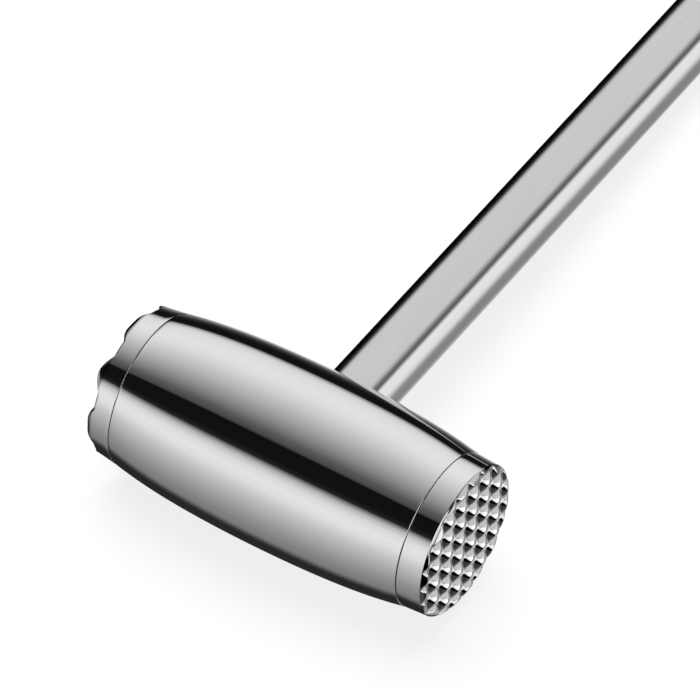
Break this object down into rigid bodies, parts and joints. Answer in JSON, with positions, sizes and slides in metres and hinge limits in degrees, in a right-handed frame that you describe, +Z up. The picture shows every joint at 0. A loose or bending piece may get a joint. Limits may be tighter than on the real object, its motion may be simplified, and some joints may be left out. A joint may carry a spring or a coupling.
{
  "type": "meat tenderizer",
  "caption": "All-steel meat mallet: polished barrel-shaped head with a fine and a coarse toothed face, on a hollow satin handle with a hanging hole.",
  "frame": {"origin": "middle of the footprint, on the table on which the tool lies", "axes": "+Z up from the table, +X along the head towards its fine face, +Y from the head towards the handle's end"},
  "size_m": [0.1058, 0.2696, 0.05],
  "materials": {
    "head_steel": "mirror-polished stainless steel",
    "face_steel": "polished stainless steel, cast and ground teeth",
    "handle_steel": "satin stainless steel, brushed along the handle",
    "inner_steel": "plain turned steel",
    "eyelet_steel": "polished stainless steel tube"
  },
  "bodies": {
    "root": {"head_barrel": "head_steel", "fine_face": "face_steel", "coarse_face": "face_steel", "anchor_block": "inner_steel", "fine_tie_stud": "inner_steel", "coarse_tie_stud": "inner_steel", "fine_face_dowel": "inner_steel", "coarse_face_dowel": "inner_steel", "handle_tang": "inner_steel", "tang_pin": "inner_steel", "neck_plug": "inner_steel", "handle_trough": "handle_steel", "handle_cover": "handle_steel", "end_plug": "inner_steel", "hanging_eyelet": "eyelet_steel"}
  },
  "joints": []
}
